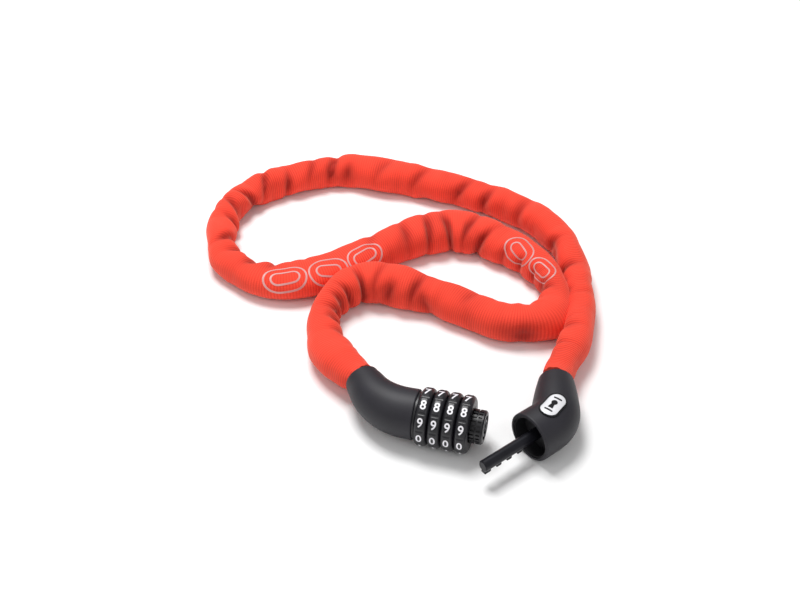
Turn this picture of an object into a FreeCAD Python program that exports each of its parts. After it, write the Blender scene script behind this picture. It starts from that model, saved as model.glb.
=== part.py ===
"""Chain lock: a four-dial barrel and a toothed bolt on the ends of a sleeved chain, lying open.

Millimetres.  The origin is the centre of the bolt socket's mouth, +X points out of the socket
along the barrel's axis, +Z is up, and the lock lies on the plane z = -dial_radius.
"""
import FreeCAD
import Part
import Sketcher
import math
import os
import re

Vector = FreeCAD.Vector
Rotation = FreeCAD.Rotation
Placement = FreeCAD.Placement

UP = Vector(0, 0, 1)
ALONG = Vector(1, 0, 0)
ORIGIN = Vector(0, 0, 0)

# Shares and counts that are not sizes.
FLARE_LOCK = 2.0  # power of the lock housing's taper: higher keeps it wide for longer
FLARE_CUP = 2.5  # the same for the bolt housing
ARC_SHARE = 0.45  # how much of the shorter run an arc of the sleeve takes
RAMP_LINKS = 4.0  # links over which the chain rolls from flat to its resting angle
CAP_SHARE = 0.95  # how much of a rounded end's height the rounding takes
LOFT_STEP = 3.5  # spacing of the sections of a housing's loft
LINK_GROUPS = 7  # nodes that the chain's inner links are shared between

# ---------------------------------------------------------------- driving sizes
SIZES = [
    # number dials and the code rings inside them
    ("dial_count", 4, "number dials on the barrel"),
    ("digit_count", 10, "positions of a dial"),
    ("dial_radius", 15.0, "a dial's outer radius, which rests on the floor"),
    ("dial_width", 6.65, "a dial's width along the barrel"),
    ("dial_rim", 2.4, "rounding of a dial's two rims"),
    ("dial_recess", 9.0, "radius of the recess that takes the code ring"),
    ("dial_web", 1.5, "thickness of the web that runs on the core"),
    ("dial_phase", 4.0, "turn of the dials that shows their digits square on, in degrees"),
    ("flute_depth", 0.3, "depth of the finger flutes between the digits"),
    ("flute_radius", 1.7, "radius of the finger flutes"),
    ("code_length", 2.0, "a code ring's length along the barrel"),
    ("code_gap", 0.2, "radial gap between a code ring and its recess"),
    ("clutch_tooth", 0.8, "radius of the clutch teeth round a code ring"),
    ("click_groove", 0.45, "radius of the click grooves in a code ring's bore"),
    # core tube, reset ring and what holds them
    ("core_radius", 4.35, "outer radius of the core tube"),
    ("socket_radius", 3.15, "radius of the socket that the bolt slides into"),
    ("slot_width", 3.0, "width of the slot that the bolt's teeth pass through"),
    ("stub_radius", 2.6, "radius of the core's threaded stub"),
    ("nut_length", 2.6, "thickness of the core nut and of the bolt nut"),
    ("nut_radius", 5.0, "distance from a nut's axis to its corners"),
    ("washer_length", 0.8, "thickness of the washers under the nuts"),
    ("washer_radius", 5.6, "outer radius of the washers under the nuts"),
    ("thrust_length", 1.0, "thickness of the thrust washer beside the first dial"),
    ("thrust_radius", 12.2, "outer radius of the thrust washer"),
    ("ring_radius", 8.8, "outer radius of the reset ring over its ribs"),
    ("ring_length", 6.4, "length of the reset ring"),
    ("ring_ribs", 24, "grip ribs round the reset ring"),
    ("rib_depth", 0.7, "depth of the grooves between the ribs"),
    ("rib_width", 1.0, "width of the grooves between the ribs"),
    ("rim_length", 1.3, "length of the smooth rim at the reset ring's outer end"),
    ("band_groove", 0.9, "width of the groove between the two bands of ribs"),
    ("clip_length", 0.8, "thickness of the retaining clip"),
    ("clip_radius", 6.2, "outer radius of the retaining clip"),
    ("clip_seat", 3.85, "radius of the clip's groove in the core"),
    ("clip_depth", 0.7, "distance from the socket's mouth to the clip"),
    ("key_width", 1.6, "width and height of the key between ring and core"),
    ("key_back", 0.8, "distance from the ring's inner face to the key"),
    ("key_length", 2.4, "length of that key"),
    ("leaf_width", 2.2, "width of the click spring strip in the core's top"),
    ("leaf_thickness", 0.35, "thickness of the click spring strip"),
    ("bump_width", 0.8, "width of the bumps on the click spring strip"),
    ("leaf_groove", 0.7, "depth of the strip's groove in the core"),
    # bolt
    ("bolt_radius", 3.05, "radius of the bolt's shaft"),
    ("bolt_reach", 31.0, "how far the bolt stands out of the cup's mouth"),
    ("tooth_reach", 5.15, "distance from the bolt's axis to the tips of its teeth"),
    ("tooth_bevel", 0.35, "bevel on the corners of the teeth"),
    ("collar_radius", 4.6, "radius of the bolt's collar on the cup's floor"),
    ("tooth_width", 2.6, "width of the bolt's teeth across the shaft"),
    ("gate_half", 1.9, "half the gap between two teeth, which a code ring fills"),
    ("tip_bevel", 0.6, "bevel at the bolt's tip"),
    ("socket_spare", 1.0, "room left beyond the bolt's tip when it is home"),
    # housings
    ("shell_radius", 13.2, "radius of the lock housing beside the dials"),
    ("cup_radius", 13.35, "radius of the cup's rim, which rests on the floor"),
    ("neck_radius", 9.2, "radius of both necks where the sleeve goes in"),
    ("neck_wall", 1.3, "wall of both necks"),
    ("housing_wall", 2.2, "wall of both housings away from the necks"),
    ("bulkhead", 3.0, "wall that carries the core, and the one that carries the bolt"),
    ("end_round", 0.9, "rounding of both ends of the housings"),
    ("lock_front", 5.1, "straight length of the lock housing before its bend"),
    ("lock_bend", 30.0, "bend radius of the lock housing's axis"),
    ("lock_turn", 49.4, "turn of the lock housing, in degrees"),
    ("lock_neck", 9.6, "straight length of the lock housing after its bend"),
    ("cup_depth", 8.5, "depth of the cup that closes over the reset ring"),
    ("cup_bore", 11.75, "radius of the cup's bore, which the liner fills"),
    ("liner_wall", 0.8, "wall of the cup's liner"),
    ("liner_step", 0.8, "step from the cup's rim down to the liner"),
    ("cup_bend", 16.0, "bend radius of the bolt housing's axis"),
    ("cup_turn", 46.0, "turn of the bolt housing, in degrees"),
    ("cup_neck", 22.5, "straight length of the bolt housing after its bend"),
    ("badge_length", 16.5, "length of the badge plate"),
    ("badge_width", 9.3, "width of the badge plate"),
    ("badge_frame", 0.8, "width of the frame round the badge plate"),
    ("badge_sunk", 0.6, "depth of the badge's seat"),
    ("badge_proud", 0.35, "height of the badge plate above the housing"),
    ("badge_lip", 0.25, "height of the badge's frame above its plate"),
    ("badge_place", 16.0, "distance from the cup's mouth to the badge, along the axis"),
    ("badge_tilt", 0.0, "tilt of the badge from the top of the housing, in degrees"),
    ("badge_spin", 0.0, "turn of the badge's long side from the housing's axis, in degrees"),
    # where the bolt end lies
    ("cup_x", 22.4, "cup mouth's centre, along the barrel's axis"),
    ("cup_y", 0.5, "cup mouth's centre, across the barrel's axis"),
    ("cup_heading", -126.0, "direction in which the bolt points, in degrees from +X"),
    # chain and sleeve
    ("wire", 3.5, "diameter of the chain's wire"),
    ("link_inside", 16.0, "inside length of a link"),
    ("link_slack", 0.5, "least play between two links along the chain"),
    ("eye_gap", 0.08, "radial gap between an anchor pin and the end link's eye"),
    ("eye_radius", 3.1, "half the inside width of a link"),
    ("pin_depth", 6.5, "distance from a neck's mouth to its anchor pin"),
    ("sleeve_radius", 9.2, "outer radius of the sleeve"),
    ("sleeve_wall", 0.8, "thickness of the sleeve's cloth"),
    ("sleeve_lap", 2.5, "gap between a neck's mouth and the sleeve's end"),
    ("lock_lead", 19.5, "straight way of the sleeve out of the lock's neck"),
    ("cup_lead", 16.0, "straight way of the sleeve out of the bolt housing's neck"),
    # fits
    ("run_gap", 0.06, "radial clearance of a running fit"),
    ("side_gap", 0.3, "axial gap between pieces that turn past each other"),
    ("part_gap", 0.1, "gap between fixed pieces that are assembled by hand"),
]

# Lengths that follow from the driving sizes.
LAYOUT = [
    ("dial_pitch", "dial_width + side_gap"),
    ("dial_last", "-(ring_length + side_gap + dial_width / 2)"),
    ("dial_first", "dial_last - (dial_count - 1) * dial_pitch"),
    ("thrust_x", "dial_first - dial_width / 2 - side_gap - thrust_length"),
    ("stub_x", "thrust_x - bulkhead - side_gap"),
    ("core_length", "washer_length + nut_length - stub_x"),
    ("socket_length", "ring_length + bolt_reach + socket_spare"),
    ("key_x", "key_back - ring_length"),
    ("bolt_tail", "cup_depth + bulkhead + washer_length + nut_length"),
    ("code_bore", "core_radius + run_gap"),
    ("code_radius", "dial_recess - code_gap"),
    ("liner_bore", "cup_bore - liner_wall"),
    ("cup_front", "cup_depth + bulkhead"),
    ("cup_z", "cup_radius - dial_radius"),
    ("pin_radius", "eye_radius - eye_gap"),
]


def fill_sheet(name, rows):
    """Write one value per row beside its alias, and its meaning where it has one."""
    sheet = doc.addObject("Spreadsheet::Sheet", name)
    for index, row in enumerate(rows, start=1):
        sheet.set("A%d" % index, row[0])
        sheet.set("B%d" % index, str(row[1]))
        sheet.setAlias("B%d" % index, row[0])
        if len(row) > 2:
            sheet.set("C%d" % index, row[2])
    doc.recompute()
    return sheet


def bound(text):
    """Turn the sizes named in an expression into references to the two sheets."""
    def refer(match):
        word = match.group(0)
        if word in DRIVING:
            return "Sizes." + word
        return "Layout." + word if word in DERIVED else word
    return re.sub(r"[a-z_]+", refer, text)


doc = FreeCAD.newDocument("ChainLock")
DRIVING = {row[0] for row in SIZES}
DERIVED = {row[0] for row in LAYOUT}
sizes = fill_sheet("Sizes", SIZES)
layout = fill_sheet("Layout", [(name, "=" + bound(text)) for name, text in LAYOUT])


def size(name):
    """The number behind a name of either sheet."""
    return float((sizes if name in DRIVING else layout).get(name))


# ---------------------------------------------------------------- sketched pieces
def new_body(name, place=None):
    """An empty body, in the lock's frame or at a placement of bound expressions."""
    body = doc.addObject("PartDesign::Body", name)
    body.Label = name
    put(body, place or {})
    return body


def put(item, place):
    """Bind an object's placement: its place along X, Y and Z and its angle about an axis."""
    if "axis" in place:
        item.Placement = Placement(ORIGIN, Rotation(place["axis"], 1.0))
        item.setExpression("Placement.Rotation.Angle", bound(place["angle"]))
    for letter in "xyz":
        if letter in place:
            item.setExpression("Placement.Base." + letter, bound(place[letter]))


def new_sketch(body, role, offset="0"):
    """A sketch parallel to one of the body's own origin planes."""
    sketch = body.newObject("Sketcher::SketchObject", body.Name + "_sketch")
    support = next(item for item in body.Origin.OriginFeatures if item.Role == role)
    sketch.AttachmentSupport = [(support, "")]
    sketch.MapMode = "FlatFace"
    sketch.setExpression("AttachmentOffset.Base.z", bound(offset))
    return sketch


def locate(sketch, geometry, end, across, up):
    """Bind a sketch point's two distances from the sketch's origin."""
    for kind, text in (("DistanceX", across), ("DistanceY", up)):
        index = sketch.addConstraint(Sketcher.Constraint(kind, -1, 1, geometry, end, 1.0))
        sketch.setExpression("Constraints[%d]" % index, bound(text))


def draw_polygon(sketch, corners):
    """A closed polygon whose corners are pairs of expressions."""
    first = sketch.GeometryCount
    count = len(corners)
    guess = [Vector(1, 0, 0)]
    for index in range(count):
        guess.append(Rotation(UP, 360.0 * (index + 1) / count).multVec(guess[0]))
        sketch.addGeometry(Part.LineSegment(guess[index], guess[index + 1]), False)
    for index, corner in enumerate(corners):
        follower = first + (index + 1) % count
        sketch.addConstraint(Sketcher.Constraint("Coincident", first + index, 2, follower, 1))
        locate(sketch, first + index, 1, *corner)


def draw_box(sketch, left, right, low, high):
    """A rectangle between four expressions."""
    draw_polygon(sketch, [(left, low), (right, low), (right, high), (left, high)])


def draw_circle(sketch, across, up, radius):
    """A circle whose centre and radius are expressions."""
    index = sketch.addGeometry(Part.Circle(Vector(1, 1, 0), UP, 1.0), False)
    locate(sketch, index, 3, across, up)
    number = sketch.addConstraint(Sketcher.Constraint("Radius", index, 1.0))
    sketch.setExpression("Constraints[%d]" % number, bound(radius))


def turn(body, corners):
    """Revolve a polygon of (place along X, radius) pairs about the X axis."""
    sketch = new_sketch(body, "XY_Plane")
    draw_polygon(sketch, corners)
    feature = body.newObject("PartDesign::Revolution", body.Name + "_turned")
    feature.Profile = sketch
    feature.ReferenceAxis = (sketch, ["H_Axis"])
    feature.Angle = 360
    doc.recompute()
    return feature


def extrude(body, kind, sketch, length, side="One side", reverse=False):
    """Pad or pocket a sketch, and make sure that it adds or removes material."""
    before = body.Shape.Volume
    feature = body.newObject("PartDesign::" + kind, body.Name + "_" + kind.lower())
    feature.Profile = sketch
    feature.SideType = side
    feature.Reversed = reverse
    feature.setExpression("Length", bound(length))
    doc.recompute()
    change = body.Shape.Volume - before
    if change * (1 if kind == "Pad" else -1) <= 0:
        raise RuntimeError(feature.Name + " changes nothing")
    return feature


def repeat(body, feature, sketch, count):
    """Repeat a feature round the X axis, which is the normal of its sketch."""
    pattern = body.newObject("PartDesign::PolarPattern", body.Name + "_pattern")
    pattern.Originals = [feature]
    pattern.Axis = (sketch, ["N_Axis"])
    pattern.Angle = 360
    pattern.setExpression("Occurrences", bound(count))
    body.Tip = pattern
    doc.recompute()


def round_circles(body, radius, chosen):
    """Fillet the circular edges whose radius and place along the local X axis are chosen."""
    base = body.Tip
    picked = []
    for index, edge in enumerate(base.Shape.Edges, start=1):
        curve = edge.Curve
        if isinstance(curve, Part.Circle) and chosen(curve.Radius, curve.Center.x):
            picked.append("Edge%d" % index)
    feature = body.newObject("PartDesign::Fillet", body.Name + "_fillet")
    feature.Base = (base, picked)
    feature.setExpression("Radius", bound(radius))
    doc.recompute()


def cut_nut(name, length, place):
    """A hexagon nut on the stub of the core or of the bolt."""
    hexagon = doc.addObject("Part::Prism", name + "_hexagon")
    bore = doc.addObject("Part::Cylinder", name + "_bore")
    hexagon.setExpression("Circumradius", bound("nut_radius"))
    bore.setExpression("Radius", bound("stub_radius"))
    for item in (hexagon, bore):
        item.Placement = Placement(ORIGIN, Rotation(Vector(0, 1, 0), -90))
        item.setExpression("Height", bound(length))
    nut = doc.addObject("Part::Cut", name)
    nut.Label = name
    nut.Base = hexagon
    nut.Tool = bore
    put(nut, place)


# ---------------------------------------------------------------- dials and code rings
def make_dial(name, place):
    """A number dial: rounded rims, finger flutes, a web on the core, grooves for the clutch."""
    body = new_body(name, dict(place, axis=ALONG, angle="dial_phase"))
    half = "dial_width / 2"
    web = "dial_web - dial_width / 2"
    turn(body, [("-" + half, "code_bore"), ("-" + half, "dial_radius"), (half, "dial_radius"),
                (half, "dial_recess"), (web, "dial_recess"), (web, "code_bore")])
    outer = size("dial_radius")
    round_circles(body, "dial_rim", lambda radius, x: abs(radius - outer) < 1e-6)
    flute = new_sketch(body, "YZ_Plane", half)
    draw_circle(flute, "0", "dial_radius - flute_depth + flute_radius", "flute_radius")
    repeat(body, extrude(body, "Pocket", flute, "dial_width"), flute, "digit_count")
    groove = new_sketch(body, "YZ_Plane", half)
    draw_circle(groove, "code_radius * sin(dial_phase)", "code_radius * cos(dial_phase)",
                "clutch_tooth + code_gap")
    pocket = extrude(body, "Pocket", groove, "dial_width - dial_web")
    repeat(body, pocket, groove, "digit_count")


def make_code_ring(name, place):
    """A code ring: clutch teeth outside, click grooves in the bore, a gate for the bolt's teeth."""
    body = new_body(name, place)
    half = "code_length / 2"
    turn(body, [("-" + half, "code_bore"), ("-" + half, "code_radius"), (half, "code_radius"),
                (half, "code_bore")])
    tooth = new_sketch(body, "YZ_Plane")
    draw_circle(tooth, "0", "code_radius", "clutch_tooth")
    repeat(body, extrude(body, "Pad", tooth, "code_length", "Symmetric"), tooth, "digit_count")
    click = new_sketch(body, "YZ_Plane")
    draw_circle(click, "0", "code_bore", "click_groove")
    repeat(body, extrude(body, "Pocket", click, "code_length", "Symmetric"), click, "digit_count")
    gate = new_sketch(body, "YZ_Plane")
    draw_box(gate, "-slot_width / 2", "slot_width / 2", "-tooth_reach - side_gap", "0")
    extrude(body, "Pocket", gate, "code_length", "Symmetric")


for number in range(int(size("dial_count"))):
    here = {"x": "dial_first + %d * dial_pitch" % number}
    make_dial("dial_%d" % (number + 1), here)
    make_code_ring("code_ring_%d" % (number + 1), here)


# ---------------------------------------------------------------- core and reset ring
def make_core():
    """The core tube: a blind socket with a slot below, a stub behind, seats for clip and key."""
    body = new_body("lock_core")
    seat = "-clip_depth - clip_length"
    turn(body, [("0", "socket_radius"), ("0", "core_radius"), ("-clip_depth", "core_radius"),
                ("-clip_depth", "clip_seat"), (seat, "clip_seat"), (seat, "core_radius"),
                ("stub_x", "core_radius"), ("stub_x", "stub_radius"),
                ("-core_length", "stub_radius"), ("-core_length", "0"),
                ("-socket_length", "0"), ("-socket_length", "socket_radius")])
    slot = new_sketch(body, "XY_Plane")
    draw_box(slot, "-socket_length", "socket_spare", "-slot_width / 2", "slot_width / 2")
    extrude(body, "Pocket", slot, "2 * core_radius")
    strip = new_sketch(body, "XY_Plane", "core_radius - leaf_groove")
    draw_box(strip, "dial_first - dial_pitch / 2", "dial_last + dial_width / 2",
             "-leaf_width / 2 - part_gap", "leaf_width / 2 + part_gap")
    extrude(body, "Pocket", strip, "core_radius", reverse=True)
    key = new_sketch(body, "XY_Plane", "core_radius - key_width / 2")
    draw_box(key, "key_x", "key_x + key_length", "-key_width / 2", "key_width / 2")
    extrude(body, "Pocket", key, "core_radius", reverse=True)


def make_ring():
    """The reset ring: two bands of grip ribs, a smooth rim and a seat for the clip."""
    body = new_body("reset_ring")
    seat = "-clip_depth - clip_length"
    middle = "-rim_length - (ring_length - rim_length - band_groove) / 2"
    floor = "ring_radius - rib_depth"
    turn(body, [("-ring_length", "core_radius + part_gap"), ("-ring_length", "ring_radius"),
                (middle + " - band_groove", "ring_radius"), (middle + " - band_groove", floor),
                (middle, floor), (middle, "ring_radius"), ("-rib_depth", "ring_radius"),
                ("0", floor), ("0", "clip_radius + part_gap"), (seat, "clip_radius + part_gap"),
                (seat, "core_radius + part_gap")])
    rib = new_sketch(body, "YZ_Plane", "-rim_length")
    draw_box(rib, "-rib_width / 2", "rib_width / 2", floor, "2 * ring_radius")
    repeat(body, extrude(body, "Pocket", rib, "ring_length"), rib, "ring_ribs")
    key = new_sketch(body, "YZ_Plane", "key_x + key_length + part_gap")
    draw_box(key, "-key_width / 2", "key_width / 2", "0", "core_radius + key_width / 2")
    extrude(body, "Pocket", key, "ring_length")


def make_key():
    """The key that makes the core turn with the reset ring."""
    key = doc.addObject("Part::Box", "ring_key")
    key.Label = "ring_key"
    for side, text in (("Length", "key_length"), ("Width", "key_width"), ("Height", "key_width")):
        key.setExpression(side, bound(text))
    put(key, {"x": "key_x", "y": "-key_width / 2", "z": "core_radius - key_width / 2"})


def make_clip():
    """The open ring that holds the reset ring on the core."""
    body = new_body("retaining_clip")
    inner, outer = "-clip_depth - clip_length", "-clip_depth"
    turn(body, [(inner, "clip_seat"), (inner, "clip_radius"), (outer, "clip_radius"),
                (outer, "clip_seat")])
    mouth = new_sketch(body, "YZ_Plane", inner)
    draw_box(mouth, "-slot_width / 2", "slot_width / 2", "-2 * clip_radius", "0")
    extrude(body, "Pocket", mouth, "clip_length", reverse=True)


def make_washer(name, back, front, bore, radius, place=None):
    """A plain washer between two places along X."""
    body = new_body(name, place)
    turn(body, [(back, bore), (back, radius), (front, radius), (front, bore)])


def make_click_strip():
    """The spring strip in the core's top, with one bump under each code ring."""
    low = "core_radius - leaf_groove"
    strip = doc.addObject("Part::Box", "click_strip_blade")
    strip.setExpression("Length", bound("dial_last - dial_first + dial_width"))
    strip.setExpression("Width", bound("leaf_width"))
    strip.setExpression("Height", bound("leaf_thickness"))
    put(strip, {"x": "dial_first - dial_width / 2", "y": "-leaf_width / 2", "z": low})
    pieces = [strip]
    for number in range(int(size("dial_count"))):
        bump = doc.addObject("Part::Cylinder", "click_strip_bump_%d" % (number + 1))
        bump.Placement = Placement(ORIGIN, Rotation(ALONG, -90))
        bump.setExpression("Radius", bound("leaf_groove - leaf_thickness"))
        bump.setExpression("Height", bound("bump_width"))
        put(bump, {"x": "dial_first + %d * dial_pitch" % number, "y": "-bump_width / 2",
                   "z": low + " + leaf_thickness"})
        pieces.append(bump)
    blade = doc.addObject("Part::MultiFuse", "click_strip")
    blade.Label = "click_strip"
    blade.Shapes = pieces


make_core()
make_ring()
make_key()
make_clip()
make_click_strip()
make_washer("core_washer", "stub_x - washer_length", "stub_x", "stub_radius + part_gap",
            "washer_radius")
cut_nut("core_nut", "nut_length", {"x": "stub_x - washer_length"})
make_washer("thrust_washer", "thrust_x", "thrust_x + thrust_length", "code_bore",
            "thrust_radius")

# ---------------------------------------------------------------- bolt and cup liner
CUP_PLACE = {"x": "cup_x", "y": "cup_y", "z": "cup_z", "axis": UP, "angle": "cup_heading"}


def make_bolt():
    """The bolt: a bevelled shaft, a collar on the cup's floor, a stub, and one tooth a dial."""
    body = new_body("bolt", CUP_PLACE)
    collar = "liner_wall - cup_depth"
    turn(body, [("-bolt_tail", "0"), ("-bolt_tail", "stub_radius"), ("-cup_depth", "stub_radius"),
                ("-cup_depth", "bolt_radius"), (collar, "bolt_radius"),
                (collar, "collar_radius"), (collar + " + liner_wall", "collar_radius"),
                (collar + " + liner_wall", "bolt_radius"),
                ("bolt_reach - tip_bevel", "bolt_radius"),
                ("bolt_reach", "bolt_radius - tip_bevel"), ("bolt_reach", "0")])
    teeth = new_sketch(body, "XZ_Plane")
    near = "-ring_length - dial_first - %d * dial_pitch + gate_half"
    far = "-ring_length - dial_first - %d * dial_pitch - gate_half"
    for number in range(int(size("dial_count"))):
        left = near % number
        right = far % (number - 1) if number else "bolt_reach - tip_bevel"
        draw_polygon(teeth, [(left, "0"), (left, "tooth_bevel - tooth_reach"),
                             (left + " + tooth_bevel", "-tooth_reach"),
                             (right + " - tooth_bevel", "-tooth_reach"),
                             (right, "tooth_bevel - tooth_reach"), (right, "0")])
    extrude(body, "Pad", teeth, "tooth_width", "Symmetric")


def make_liner():
    """The cup's liner, with a floor that the bolt's collar sits on."""
    body = new_body("cup_liner", CUP_PLACE)
    turn(body, [("-cup_depth", "bolt_radius + part_gap"), ("-cup_depth", "cup_bore"),
                ("-liner_step", "cup_bore"), ("-liner_step", "liner_bore"),
                ("liner_wall - cup_depth", "liner_bore"),
                ("liner_wall - cup_depth", "bolt_radius + part_gap")])


make_bolt()
make_liner()
make_washer("bolt_washer", "-cup_front - washer_length", "-cup_front",
            "stub_radius + part_gap", "washer_radius", CUP_PLACE)
cut_nut("bolt_nut", "nut_length", {})


# ---------------------------------------------------------------- bent housings
class Bend:
    """A housing's axis: straight back along -X, an arc in the plane of the floor, straight on."""

    def __init__(self, front, radius, degrees, neck):
        self.front, self.radius, self.neck = front, radius, neck
        self.angle = math.radians(degrees)
        self.arc = radius * abs(self.angle)
        self.length = front + self.arc + neck

    def at(self, s):
        """The point and the direction of travel at a distance along the axis."""
        turned = min(max(s - self.front, 0.0), self.arc) / self.radius
        side = math.copysign(1.0, self.angle)
        heading = math.pi + side * turned
        ahead = min(s, self.front) + self.radius * math.sin(turned)
        aside = side * self.radius * (1.0 - math.cos(turned))
        along = Vector(math.cos(heading), math.sin(heading), 0)
        point = Vector(-ahead, -aside, 0)
        return point + along * max(s - self.front - self.arc, 0.0), along

    def ring(self, s, radius):
        """A circle round the axis at a distance, which starts at its top."""
        point, along = self.at(s)
        ring = Part.Wire(Part.makeCircle(radius))
        ring.Placement = Placement(point, Rotation(UP, along.cross(UP), along, "XYZ"))
        return ring

    def cap(self, base, end, radius):
        """A disc on the axis whose far edge is rounded over nearly its whole height."""
        height = abs(end - base)
        point, along = self.at(base)
        disc = Part.makeCylinder(radius, height)
        rim = [edge for edge in disc.Edges if edge.CenterOfMass.z > 0.9 * height and edge.isClosed()]
        disc = disc.makeFillet(CAP_SHARE * height, rim)
        outward = along if end > base else along * -1.0
        disc.Placement = Placement(point, Rotation(Vector(0, 0, 1), outward))
        return disc

    @staticmethod
    def stations(start, stop):
        """Evenly spaced distances for the sections of a loft."""
        count = int(math.ceil((stop - start) / LOFT_STEP))
        return [start + (stop - start) * step / count for step in range(count + 1)]

    def loft(self, start, stop, radius):
        """A solid of circular section along the axis, whose radius is a function of distance."""
        rings = [self.ring(s, radius(s)) for s in self.stations(start, stop)]
        solid = Part.makeLoft(rings, True, False)
        if solid.Volume < 0:
            solid.reverse()
        return solid


def rod(radius, start, stop):
    """A cylinder along X between two places."""
    return Part.makeCylinder(radius, stop - start, Vector(start, 0, 0), ALONG)


def add_shape(name, shape, place=None):
    """A sub-part whose shape is worked out above."""
    item = doc.addObject("Part::Feature", name)
    item.Label = name
    own = shape.Placement
    item.Shape = shape
    item.Placement = (place or Placement()) * own
    return item


def housing(bend, mouth_radius, power, cavity_start):
    """The outside radius, the outside solid and the inside solid of a housing."""
    neck_radius = size("neck_radius")
    thinning = size("housing_wall") - size("neck_wall")

    def outside(s):
        share = min(s / bend.length, 1.0) ** power
        return mouth_radius - (mouth_radius - neck_radius) * share

    def inside(s):
        share = min(s / bend.length, 1.0)
        return outside(s) - size("housing_wall") + thinning * share

    rounded = size("end_round")
    body = bend.loft(rounded, bend.length - rounded, outside)
    caps = [bend.cap(rounded, 0.0, outside(rounded)),
            bend.cap(bend.length - rounded, bend.length, outside(bend.length - rounded))]
    return outside, body.fuse(caps), bend.loft(cavity_start, bend.length + 1.0, inside)


def anchor_pin(bend):
    """An upright pin across a neck, blind in both walls."""
    point = bend.at(bend.length - size("pin_depth"))[0]
    half = size("neck_radius") + size("part_gap")
    return Part.makeCylinder(size("pin_radius"), 2 * half, point - UP * half, UP)


lock_bend = Bend(size("lock_front"), size("lock_bend"), -size("lock_turn"), size("lock_neck"))
lock_place = Placement(Vector(size("thrust_x"), 0, 0), Rotation())
cup_bend = Bend(size("cup_front"), size("cup_bend"), size("cup_turn"), size("cup_neck"))
cup_place = Placement(Vector(size("cup_x"), size("cup_y"), size("cup_z")),
                      Rotation(UP, size("cup_heading")))
doc.getObject("bolt_nut").Placement = cup_place * Placement(
    Vector(-size("cup_front") - size("washer_length"), 0, 0), Rotation())


def make_lock_housing():
    """The lock housing, open at the neck, with a bulkhead that carries the core."""
    _, shell, hollow = housing(lock_bend, size("shell_radius"), FLARE_LOCK, size("bulkhead"))
    hole = rod(size("code_bore"), -size("bulkhead") - 1.0, 1.0)
    pin = anchor_pin(lock_bend)
    add_shape("lock_housing", shell.cut([hollow, hole, pin]), lock_place)
    add_shape("lock_anchor_pin", pin, lock_place)


def stadium(length, width, height):
    """An upright stadium prism, long side along X, centred on the origin."""
    half = width / 2.0
    side = length / 2.0 - half
    bar = Part.makeBox(2 * side, width, height, Vector(-side, -half, 0))
    ends = [Part.makeCylinder(half, height, Vector(x, 0, 0)) for x in (-side, side)]
    return bar.fuse(ends).removeSplitter()


def make_cup_housing():
    """The bolt housing: a cup in front, the bulkhead for the bolt, and the badge's seat on top."""
    outside, shell, hollow = housing(cup_bend, size("cup_radius"), FLARE_CUP, size("cup_front"))
    cup = rod(size("cup_bore"), -size("cup_depth"), 1.0)
    hole = rod(size("stub_radius"), -size("cup_front") - 1.0, 1.0)
    pin = anchor_pin(cup_bend)
    sunk, proud, frame = size("badge_sunk"), size("badge_proud"), size("badge_frame")

    def skin(offset):
        return cup_bend.loft(1.0, cup_bend.length, lambda s: outside(s) + offset)

    length, width = size("badge_length"), size("badge_width")
    turned = Rotation(ALONG, size("badge_tilt"))
    point, along = cup_bend.at(size("badge_place"))
    across = Rotation(Vector(1, 0, 0), along)
    lift = Placement(point, across * turned * Rotation(UP, size("badge_spin")))
    plate = stadium(length, width, 2 * size("cup_radius"))
    frame_prism = stadium(length + 2 * frame, width + 2 * frame, 2 * size("cup_radius"))
    for prism in (plate, frame_prism):
        prism.Placement = lift
    bed = skin(-sunk)
    seat = frame_prism.cut(bed)
    plate_shape = plate.common(skin(proud)).cut(bed)
    frame_shape = frame_prism.common(skin(proud + size("badge_lip"))).cut([bed, plate])
    add_shape("cup_housing", shell.cut([cup, hollow, hole, pin, seat]), cup_place)
    add_shape("badge_plate", plate_shape, cup_place)
    add_shape("badge_frame", frame_shape, cup_place)
    add_shape("cup_anchor_pin", pin, cup_place)


make_lock_housing()
make_cup_housing()

# ---------------------------------------------------------------- sleeve and chain
# The sleeve's way over the floor between its two straight ends: x, y and lift off the floor.
ROUTE = [
    (-96.0, 47.5, 2.2), (-104.6, 65.0, 0.2), (-104.6, 84.0, 0.0), (-93.5, 98.0, 0.0),
    (-75.0, 101.5, 0.0), (-56.5, 99.5, 0.0), (-37.5, 93.5, 0.0), (-18.0, 86.0, 0.0),
    (0.5, 86.5, 0.0), (13.0, 99.0, 0.0), (15.0, 117.0, 0.0), (5.5, 134.0, 0.0),
    (-10.5, 147.5, 0.0), (-31.0, 154.5, 0.0), (-52.5, 158.0, 0.0), (-72.5, 151.5, 0.0),
    (-88.5, 135.0, 0.0), (-103.5, 117.0, 0.0), (-120.5, 102.5, 0.0), (-140.0, 92.0, 0.0),
    (-161.0, 91.5, 0.0), (-177.0, 103.0, 0.0), (-186.5, 122.0, 0.0), (-188.0, 144.0, 0.0),
    (-179.5, 165.5, 0.0), (-161.5, 183.0, 0.0), (-139.5, 197.5, 0.0), (-113.5, 200.0, 0.0),
    (-85.0, 200.5, 0.0), (-57.5, 197.5, 0.0), (-31.5, 191.5, 0.0), (-8.5, 180.0, 0.0),
    (11.0, 164.0, 0.0), (26.0, 144.5, 0.4), (34.0, 122.0, 1.4), (33.5, 98.5, 2.6),
    (29.0, 79.5, 3.6),
]


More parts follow.
